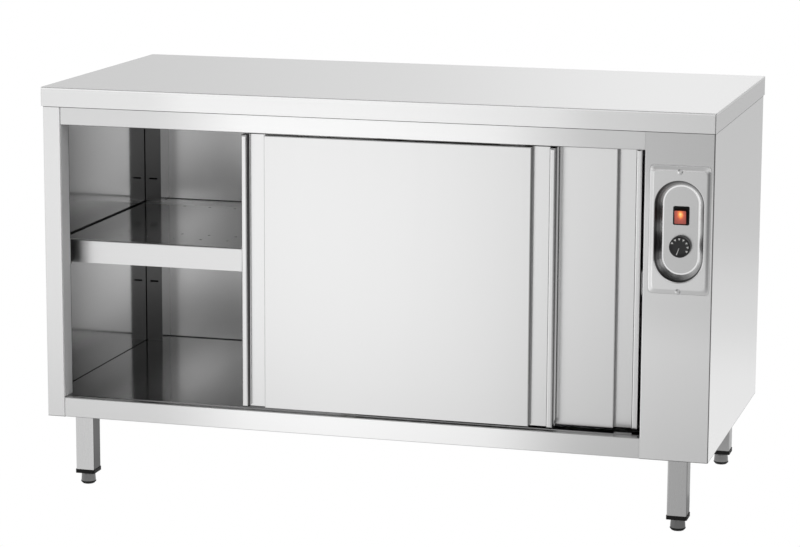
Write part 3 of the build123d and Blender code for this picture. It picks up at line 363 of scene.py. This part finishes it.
# ---- Warm cavity -------------------------------------------------------------------------
# The lining is thin bright steel: back sheet, ceiling, floor, partition with its air grille,
# and the slotted posts. The back sheet is satin outside, and a shadow line shows on its inner
# face where the floor and the shelf come up to it.
lining_grain, floor_grain = (300, 300, 4), (300, 4, 300)
back_middle, post_face, shadow_height = 0.3175, 0.2625, 0.0018
back_zones = [("Y", back_middle, 0.0002, 0.95, 0.3)]
for level in (shelf_z, floor_z):
    back_zones.append(("Z", level + shadow_height, 0.0006, 0.06, 0.3))
    back_zones.append(("Z", level, 0.0006, 0.95, 0.3))
back_zones.append(("Y", back_middle, -0.0002, 0.75, 0.2))
# Painted shade: the floor lining is nearly black towards its ends and lighter in the middle.
floor_middle = ("X", 0.52, 0.2, 0.85, 0.12)
# Painted shade: the posts are given a dark tone, darker still nearer the middle than the line of their front
# face.
post_front = ("Y", post_face, 0.0002, 0.13, 0.3)
back_sheet = satin_sheet("back_sheet", 0.75, 0.2, upright_grain, *back_zones)
lining = satin_sheet("bright_lining", 0.75, 0.2, lining_grain)
floor_sheet = satin_sheet("floor_lining", 0.12, 0.1, floor_grain, floor_middle)
post_sheet = satin_sheet("slotted_post", 0.36, 0.15, lining_grain, post_front)
finish_nodes(back_sheet, "back_panel")
finish_nodes(lining, "ceiling_panel", "partition", "air_grille")
finish_nodes(post_sheet, "corner_posts")
finish_nodes(floor_sheet, "floor_panel")

# ---- Shelf -------------------------------------------------------------------------------
# A perforated tray with a deep front flange, two braces below, and four hooked clips that
# carry it in the slots of the posts.
shelf_grain = (4, 300, 300)
# Painted shade: the shelf's steel is nearly black towards its ends and lighter in the middle; its flange
# keeps the plain satin tone.
shelf_middle = ("X", 0.57, 0.2, 0.72, 0.1)
shelf_flange = ("Y", 0.2375, -0.0002, 0.8, 0.3)
shelf_sheet = satin_sheet("shelf_sheet", 0.08, 0.1, shelf_grain, shelf_middle, shelf_flange)
finish_nodes(shelf_sheet, "shelf", "shelf_braces", "shelf_clips")

# ---- Sliding doors -----------------------------------------------------------------------
# Flat satin trays filled with pressed mineral wool, each with a back sheet and folded finger
# pulls, hung on two nylon rollers in the track. Inside each finger pull, the steel between the
# door's face and the channel's floor is painted near black as shade.
edge_depth, channel_depth = 0.0025, 0.0142
mineral_wool = speckled("mineral_wool", (0.42, 0.38, 0.2), (0.7, 0.66, 0.42), 0.002, 0.95, 0.001)
nylon = speckled("white_nylon", (0.7, 0.7, 0.67), (0.78, 0.78, 0.75), 0.003, 0.45, 0.0001)
moulded = speckled("black_moulding", (0.008,) * 3, (0.02,) * 3, 0.001, 0.55, 0.0001, shine=0.2)
for door, face in (("front", 0.317), ("rear", 0.281)):
    # Painted shade on the pull's walls, from just behind the door's face down to the channel's floor.
    pull_wall_shade = ("Y", face - edge_depth, 0.0006, 0.03, 0.3)
    pull_floor = ("Y", face - channel_depth, 0.0002, 0.8, 0.24)
    door_sheet = satin_sheet(f"{door}_door_sheet", 0.8, 0.24, upright_grain, pull_wall_shade, pull_floor)
    finish_nodes(door_sheet, f"{door}_door_skin", f"{door}_door_pulls", f"{door}_door_back")
    finish_nodes(mineral_wool, f"{door}_door_core")
    finish_nodes(zinc, f"{door}_door_hangers")
    finish_nodes(nylon, f"{door}_roller_left", f"{door}_roller_right")
finish_nodes(zinc, "door_track")
finish_nodes(moulded, "track_stops")
finish_nodes(nylon, "door_guide")


# ---- Control plate -----------------------------------------------------------------------
# A pressed satin plate screwed to the column. Its edge is bevelled all round, and its middle is
# drawn back into a round-ended recess with a rounded lip, a sloping wall and a flat floor.
def outline(places, radius, straight):
    """Points round a slot with round ends: an arc of the radius about a centre that shifts by
    the straight length up and down. Gives X, Z and the arc's angle at each point."""
    turn = np.arange(places) / places * 4
    quarter = np.floor(turn).astype(int)
    part = turn - quarter
    bend_share = 0.7
    early = np.clip(part / bend_share, 0, 1)
    late = np.clip((part - (1 - bend_share)) / bend_share, 0, 1)
    angle = (quarter + np.where(quarter % 2 == 0, late, early)) * pi / 2
    rise = np.clip(part / (1 - bend_share), 0, 1)
    fall = np.clip((part - bend_share) / (1 - bend_share), 0, 1)
    shift = np.choose(quarter, [rise, 1 - fall, -rise, fall - 1]) * straight
    return radius * np.cos(angle), radius * np.sin(angle) + shift, angle


def closed_rings(name, rings, material, body, slot, *replaced):
    """Joins closed rings of points, an array of ring, place, XYZ, into one skin with its two end
    rings filled flat, faces it outward by the sign of its volume, and rides it on its body."""
    count, places = rings.shape[:2]
    low = np.arange(count - 1)[:, None] * places
    here = np.arange(places)[None, :]
    after = (here + 1) % places
    quads = np.stack((low + here, low + after, low + places + after, low + places + here), -1)
    quads = quads.reshape(-1, 4)
    points = rings.reshape(-1, 3) - rings.reshape(-1, 3).mean(0)
    a, b, c, d = (points[quads[:, corner]] for corner in range(4))
    volume = (np.cross(a, b) * c).sum() + (np.cross(a, c) * d).sum()
    caps = [list(range(places))[::-1], list(range((count - 1) * places, count * places))]
    faces = quads.tolist() + caps
    if volume < 0:
        faces = [face[::-1] for face in faces]
    mesh = bpy.data.meshes.new(name)
    mesh.from_pydata(rings.reshape(-1, 3).tolist(), [], faces)
    mesh.shade_smooth()
    mesh.set_sharp_from_angle(angle=0.6)
    mesh.materials.append(material)
    piece = bpy.data.objects.new(name, mesh)
    scene.collection.objects.link(piece)
    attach(piece, body)
    if replaced:
        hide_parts(*replaced)
    return piece


def give_rings(piece, places, *choices):
    """Gives whole rings of faces a finish of their own. Each choice is a material and the first
    and last ring that it covers, and a face's ring is its number over the places in a ring."""
    ring_of_face = np.arange(len(piece.data.polygons)) // places
    chosen = np.zeros(len(ring_of_face), dtype=np.int32)
    for index, (material, (first, last)) in enumerate(choices, start=1):
        piece.data.materials.append(material)
        chosen[(ring_of_face >= first) & (ring_of_face <= last)] = index
    piece.data.polygons.foreach_set("material_index", chosen)


control_x, control_z = 0.631, 0.6145
plate_x, plate_z = control_x + 0.001, control_z + 0.0035
plate_half_x, plate_half_z = 0.061, 0.127
plate_bevel, plate_rise, edge_step = 0.009, 0.003, 0.0004
corner_power, bevel_ease = 0.12, 0.12
column_face, plate_face, recess_floor = -0.319, -0.322, -0.297
slot_radius, slot_straight, draft = 0.0473, 0.0522, 0.0077
sheet, back_reach = 0.0012, 0.00108
lip, foot_round, foot_shift = 0.0025, 0.004, 0.3
eye_radius, foot_margin, lip_margin, back_margin = 0.004, 0.0018, 0.0003, 0.002
plate_places = 160


def plate_edge(inset, depth):
    """One ring on a rectangle drawn in by the inset. Its corners are those of a superellipse:
    the cosine and the sine of the angle are both raised to a small power."""
    half_x, half_z = plate_half_x - inset, plate_half_z - inset
    x, z, angle = outline(plate_places, 1.0, slot_straight)
    side = np.sign(x) * np.abs(x) ** corner_power
    reach = np.sign(np.sin(angle)) * np.abs(np.sin(angle)) ** corner_power
    shift = z - np.sin(angle)
    up = shift + reach * (half_z - slot_straight)
    return np.stack((plate_x + side * half_x, np.full(plate_places, depth), plate_z + up), -1)


def slot_ring(radius, depth):
    """One ring on the recess outline at that radius and depth."""
    x, z, _ = outline(plate_places, radius, slot_straight)
    return np.stack((control_x + x, np.full(plate_places, depth), control_z + z), -1)


# The rings run from the middle of the recess's floor up its wall, over the lip, across the face
# to the bevelled edge, and back behind the sheet to the floor.
wall_lean = np.arctan2(draft, recess_floor - plate_face)
floor_radius = slot_radius - draft
rings = [
    slot_ring(eye_radius, recess_floor),
    slot_ring(floor_radius - foot_round - foot_margin, recess_floor),
]
for turn in np.linspace(pi / 2, wall_lean, 8):
    drop = foot_round * (1 - np.sin(turn))
    rings.append(slot_ring(floor_radius + foot_round * (foot_shift - np.cos(turn)), recess_floor - drop))
for turn in np.linspace(pi / 2 - wall_lean, 0, 8):
    rings.append(slot_ring(slot_radius + lip * (1 - np.sin(turn)), plate_face + lip * (1 - np.cos(turn))))
rings.append(slot_ring(slot_radius + lip + lip_margin, plate_face))
rings.append(plate_edge(2 * edge_step + plate_bevel, plate_face))
for share in np.linspace(1, 0, 7):
    slope = share - np.sin(2 * pi * share) * bevel_ease
    rings.append(plate_edge(edge_step + share * plate_bevel, column_face - plate_rise * slope))
rings.append(plate_edge(0.0, column_face))
rings.append(plate_edge(back_margin, column_face))
rings.append(slot_ring(slot_radius + back_reach, column_face))
rings.append(slot_ring(floor_radius, recess_floor + sheet))
rings.append(slot_ring(eye_radius, recess_floor + sheet))
# Painted light and shade on the plate: lighter towards the bottom, a little darker on the recess floor, and a
# painted highlight on the top bevel.
plate_lower = ("Z", 0.56, 0.08, 0.82, 0.24)
plate_floor = ("Y", 0.2985, 0.001, 0.66, 0.24)
plate_head = ("Z", 0.7348, -0.0012, 1.0, 0.4)
plate_sheet = satin_sheet("plate_sheet", 0.7, 0.24, upright_grain, plate_lower, plate_floor, plate_head)
# Painted light and shade in the recess: its wall is lighter low down and at the foot and dark where it meets
# the lip, its rounded foot is painted bright, and its lip is dark except at the bottom.
lower_wall = ("Z", 0.545, 0.04, 0.9, 0.2)
wall_foot = ("Y", 0.3060, 0.001, 1.0, 0.2)
wall_brow = ("Y", 0.3145, -0.001, 0.2, 0.3)
lower_lip = ("Z", 0.56, 0.04, 1.0, 0.2)
wall_sheet = satin_sheet("recess_wall", 0.5, 0.28, upright_grain, lower_wall, wall_foot, wall_brow)
foot_sheet = satin_sheet("recess_foot", 1.0, 0.12, upright_grain)
lip_sheet = satin_sheet("recess_lip", 0.15, 0.28, upright_grain, lower_lip)
plate = closed_rings("pressed_plate", np.array(rings), plate_sheet, "cabinet", "satin_steel", "control_plate")
foot_rings, wall_rings, lip_rings = (1, 8), (9, 10), (11, 14)
give_rings(plate, plate_places, (wall_sheet, wall_rings), (foot_sheet, foot_rings), (lip_sheet, lip_rings))


# ---- Screws ------------------------------------------------------------------------------
# Four plated pan-head screws with a straight slot: two hold the control plate, and two hold
# the service cover at the back.
def screw_rings(x, z, face, outward, slot_turn):
    """A low dome: the height falls off as an ellipse with the radius, less a slot across it. The
    rings run from the rim to the middle, closest at the rim."""
    head_radius, head_height, head_flatness, rim_share = 0.0058, 0.0030, 0.7, 0.97
    slot_depth, slot_half, slot_wall = 0.0014, 0.0009, 0.00015
    share = np.concatenate(([0.02], np.linspace(0.08, 0.8, 16), np.linspace(0.86, 1, 6)))[::-1, None]
    angle = np.linspace(0, 2 * pi, 72, endpoint=False)
    radius = head_radius * share
    dome = head_height * np.sqrt(1 - (share * rim_share) ** 2) ** head_flatness
    across = radius * np.sin(angle - slot_turn)
    cut = slot_depth * np.clip((slot_half - np.abs(across)) / slot_wall, 0, 1)
    height = np.maximum(dome - cut, 0.0)
    rows = np.stack((x + radius * np.cos(angle), face + outward * height, z + radius * np.sin(angle)), -1)
    seat = rows[:1].copy()
    seat[..., 1] = face
    return np.concatenate((seat, rows))


plate_screw_reach = 0.1185
cover_screw_x, cover_face = 0.6409, 0.319
plated = satin_sheet("plated_screw", 0.75, 0.08, (900, 900, 900))
finish_nodes(plated, "panel_screws", "thermostat_shaft")
# Each screw's X and Z, the face it sits on, the way it points and the turn of its slot.
screws = (
    (control_x, control_z - plate_screw_reach, plate_face, -1, 0.5),
    (control_x, control_z + plate_screw_reach, plate_face, -1, 2.3),
    (cover_screw_x, 0.264, cover_face, 1, 1.1),
    (cover_screw_x, 0.636, cover_face, 1, 0.2),
)
for index, screw in enumerate(screws):
    head = screw_rings(*screw)
    closed_rings(f"screw_head_{index}", head, plated, "cabinet", "bright_screws", "panel_screws")


# ---- Lit rocker switch -------------------------------------------------------------------
# A snap-in black housing round a deep well, with a dished rocker of clear red plastic pivoted in
# it. A lamp stands behind the rocker, so its upper middle glows.
def rounded_ring(half_x, half_z, radius):
    """Points round a rectangle with corner arcs, in X and Z about its middle."""
    angle = np.linspace(0, 2 * pi, switch_places, endpoint=False) + pi / switch_places
    x = np.sign(np.cos(angle)) * (half_x - radius) + radius * np.cos(angle)
    z = np.sign(np.sin(angle)) * (half_z - radius) + radius * np.sin(angle)
    return x, z


def well_ring(depth):
    """One ring on the outline of the housing's well."""
    x, z = rounded_ring(well_half_x, well_half_z, edge_corner)
    return np.stack((control_x + x, np.full(switch_places, depth), switch_z + z), -1)


def lens_ring(inset, depth, corner):
    """One ring of the lens, drawn in by the inset. The outer rings are dished by a parabola of
    the height, and every ring is turned about the pin."""
    x, z = rounded_ring(lens_half_x - inset, lens_half_z - inset, corner)
    dish = lens_dish * (1 - (z / lens_half_z) ** 2) * (depth > dish_start)
    y = dish - depth
    turned_y = rocker_pin + y * np.cos(tilt) - z * np.sin(tilt)
    turned_z = switch_z + z * np.cos(tilt) + y * np.sin(tilt)
    return np.stack((control_x + x, turned_y, turned_z), -1)


switch_places = 64
switch_z, rocker_pin, tilt = 0.643, -0.2975, np.radians(8)
well_half_x, well_half_z, well_depth = 0.0135, 0.0155, 0.0003
lens_half_x, lens_half_z, lens_depth = 0.0115, 0.0133, 0.0135
lens_dish, dish_start = 0.0017, 0.012
edge_corner, face_corner = 0.002, 0.0015
# Each ring's inset, its depth from the pin and the radius of its corners.
lens_profile = (
    (0.0010, 0.0, edge_corner),
    (0.0002, 0.0060, edge_corner),
    (0.0, 0.0112, edge_corner),
    (0.0004, 0.0127, edge_corner),
    (0.0014, lens_depth, edge_corner),
    (0.0030, lens_depth, face_corner),
    (0.0050, lens_depth, face_corner),
    (0.0075, lens_depth, face_corner),
    (0.0095, lens_depth, face_corner),
)
finish_nodes(moulded, "switch_housing", "thermostat")
well_rings = np.array([well_ring(recess_floor), well_ring(recess_floor - well_depth)])
closed_rings("switch_well", well_rings, moulded, "cabinet", "black_plastic")

lamp_x, lamp_y, lamp_z = control_x + 0.0005, -0.3, switch_z + 0.0045
lamp = bpy.data.materials.new("lit_red_lens")
n, link, out = shader_tree(lamp)
place = n.new("ShaderNodeTexCoord").outputs["Object"]
centre = n.new("ShaderNodeMapping")
centre.inputs["Location"].default_value = (-lamp_x, -lamp_y, -lamp_z)
link(place, centre.inputs["Vector"])
flat = n.new("ShaderNodeMapping")
flat.inputs["Scale"].default_value = (1.1, 0.0, 0.75)
link(centre.outputs["Vector"], flat.inputs["Vector"])
far = n.new("ShaderNodeVectorMath")
far.operation = "LENGTH"
link(flat.outputs["Vector"], far.inputs[0])
haze = noise(n, link, place, 260.0, 2.0)
drift = number(n, link, "MULTIPLY_ADD", haze, 0.004, far.outputs["Value"])
heat = n.new("ShaderNodeValToRGB")
heat.color_ramp.elements[0].color = (1.0, 0.8, 0.32, 1)
heat.color_ramp.elements[1].color = (0.24, 0.07, 0.055, 1)
for share, colour in ((0.2, (1.0, 0.5, 0.14)), (0.36, (0.75, 0.2, 0.07)), (0.6, (0.4, 0.1, 0.07))):
    heat.color_ramp.elements.new(share).color = (*colour, 1)
link(ranged(n, link, drift, (0.002, 0.016)), heat.inputs["Fac"])
skinned(
    n,
    link,
    out,
    Roughness=0.15,
    Base_Color=(0.2, 0.015, 0.01, 1),
    Specular_IOR_Level=0.3,
    Emission_Strength=1.0,
    Emission_Color=heat.outputs["Color"],
)
lens_skirt = speckled("lens_skirt", (0.012, 0.004, 0.004), (0.02, 0.006, 0.005), 0.001, 0.7, 0.00005, 0.08)
lens_rings = np.array([lens_ring(*row) for row in lens_profile])
lens_piece = closed_rings("lit_rocker", lens_rings, lamp, "rocker", "red_lens", "rocker")
skirt_rings = (0, 1)
give_rings(lens_piece, switch_places, (lens_skirt, skirt_rings))

# ---- Thermostat knob ---------------------------------------------------------------------
# A half-gloss black knob pressed on the shaft, with a fluted rim, a raised white pointer and a
# ring of seven small printed triangles.
knob_z, knob_back, knob_depth, dial_depth = 0.5825, -0.2978, 0.0140, 0.0135
flute_depth, flute_count = 0.0003, 36
# Each ring's radius, its depth from the back and its share of the flutes' depth.
knob_profile = (
    (0.0200, 0.0, 0),
    (0.0213, 0.0004, 1),
    (0.0215, 0.0015, 1),
    (0.0209, 0.0120, 1),
    (0.0206, 0.0130, 0.7),
    (0.0200, 0.0137, 0.2),
    (0.0192, knob_depth, 0),
    (0.0180, knob_depth, 0),
    (0.0174, 0.0136, 0),
    (0.0120, dial_depth, 0),
    (0.0050, dial_depth, 0),
    (0.0010, dial_depth, 0),
)
angle = np.linspace(0, 2 * pi, 180, endpoint=False)
radius, depth, flute = np.array(knob_profile).T[:, :, None]
ripple = radius - flute_depth * flute * (1 + np.cos(angle * flute_count)) / 2
knob_y = np.broadcast_to(knob_back - depth, ripple.shape)
knob_rings = np.stack((control_x + ripple * np.cos(angle), knob_y, knob_z + ripple * np.sin(angle)), -1)
knob_black = speckled("knob_black", (0.010, 0.010, 0.011), (0.022, 0.022, 0.023), 0.0008, 0.32, 0.00005)
closed_rings("dial_knob", knob_rings, knob_black, "knob", "black_knob", "knob")
print_white = speckled("print_white", (0.86, 0.86, 0.84), (0.92, 0.92, 0.9), 0.001, 0.5, 0.00002)
print_back = 0.0134


def printed_mark(name, turn, corners):
    """A thin raised print on the dial. Each corner is a distance outward along the turn and one
    to its side, and the print stands from just inside the dial to the height of the rim."""
    outward, aside = np.array(corners).T
    x = control_x + outward * np.cos(turn) - aside * np.sin(turn)
    z = knob_z + outward * np.sin(turn) + aside * np.cos(turn)
    layers = [np.stack((x, np.full(len(x), knob_back - depth), z), -1) for depth in (print_back, knob_depth)]
    closed_rings(name, np.array(layers), print_white, "knob", "black_knob")


mark_corners = ((0.0190, -0.0030), (0.0190, 0.0030), (0.0134, 0.0))
mark_turns = np.radians((152, 122, 92, 62, 32, 2, -28))
for index, turn in enumerate(mark_turns):
    printed_mark(f"dial_mark_{index}", turn, mark_corners)
pointer_corners = ((0.002, -0.0004), (0.002, 0.0004), (0.0160, 0.0009), (0.0160, -0.0009))
pointer_turn = np.radians(-110)
printed_mark("dial_pointer", pointer_turn, pointer_corners)

# ---- Fan heater and wiring ---------------------------------------------------------------
# Behind the partition a small motor turns a fan inside a zinc coated housing, with a ring
# element round it. The terminal block and the cable gland sit on the base pan.
enamel = speckled("motor_enamel", (0.11, 0.12, 0.135), (0.16, 0.17, 0.19), 0.002, 0.4, 0.0001)
oxide = speckled("oxide_tube", (0.035, 0.028, 0.024), (0.12, 0.09, 0.07), 0.003, 0.6, 0.0002)
finish_nodes(zinc, "fan_housing", "fan_rotor")
finish_nodes(enamel, "fan_motor")
finish_nodes(oxide, "heating_element")
finish_nodes(nylon, "terminal_block")
finish_nodes(moulded, "cable_gland")


# ---- Legs and levelling feet -------------------------------------------------------------
# Square satin tubes closed by black plastic caps. In each cap turns a spindle with a turned
# steel sleeve that widens a little downwards, on a black pad.
def turned_piece(name, x, y, profile, material, body, slot):
    """Carries a profile of radius and height round an upright axis: X and Y follow the cosine
    and the sine of the turn."""
    turn = np.linspace(0, 2 * pi, 64, endpoint=False)
    radius, height = np.array(profile).T[:, :, None]
    upright = np.broadcast_to(height, (len(profile), len(turn)))
    rings = np.stack((x + radius * np.cos(turn), y + radius * np.sin(turn), upright), -1)
    closed_rings(name, rings, material, body, slot, body)


leg_grain = (500, 500, 4)
leg_x, front_leg_y, rear_leg_y = 0.632, -0.262, 0.282
# Painted light and shade: each leg has its own tone of the same steel. The left front leg is light with a
# near black inner side, the right front leg is light but for a dark outer side, and the rear legs are darker
# all over.
left_inside = ("X", 0.6125, 0.0002, 0.085, 0.3)
right_outside = ("X", 0.6515, 0.0002, 0.62, 0.28)
left_leg_sheet = satin_sheet("left_leg_sheet", 0.72, 0.28, leg_grain, left_inside)
rear_leg_sheet = satin_sheet("rear_leg_sheet", 0.36, 0.3, leg_grain)
right_leg_sheet = satin_sheet("right_leg_sheet", 0.13, 0.28, leg_grain, right_outside)
# Painted shade: the turned sleeves are given a dark tone.
turned = satin_sheet("turned_sleeve", 0.22, 0.3, (3, 3, 900))
finish_nodes(moulded, "leg_caps")
# Each ring's radius and its height above the ground.
sleeve_profile = (
    (0.0149, 0.0056),
    (0.0153, 0.0062),
    (0.0151, 0.0110),
    (0.0148, 0.0150),
    (0.0145, 0.0190),
    (0.0144, 0.0236),
    (0.0140, 0.0244),
    (0.0130, 0.0247),
    (0.0052, 0.0247),
    (0.0050, 0.0252),
    (0.0050, 0.0740),
    (0.0044, 0.0747),
)
pad_profile = (
    (0.0118, 0.0),
    (0.0126, 0.0004),
    (0.0156, 0.0036),
    (0.0160, 0.0044),
    (0.0160, 0.0055),
    (0.0156, 0.0058),
)
legs = (
    ("front_left", -leg_x, front_leg_y, left_leg_sheet),
    ("front_right", leg_x, front_leg_y, right_leg_sheet),
    ("rear_left", -leg_x, rear_leg_y, rear_leg_sheet),
    ("rear_right", leg_x, rear_leg_y, rear_leg_sheet),
)
for corner, x, y, leg_sheet in legs:
    finish_nodes(leg_sheet, f"leg_{corner}")
    turned_piece(f"sleeve_{corner}", x, y, sleeve_profile, turned, f"foot_{corner}", "foot_steel")
    turned_piece(f"pad_{corner}", x, y, pad_profile, moulded, f"foot_{corner}", "black_plastic")
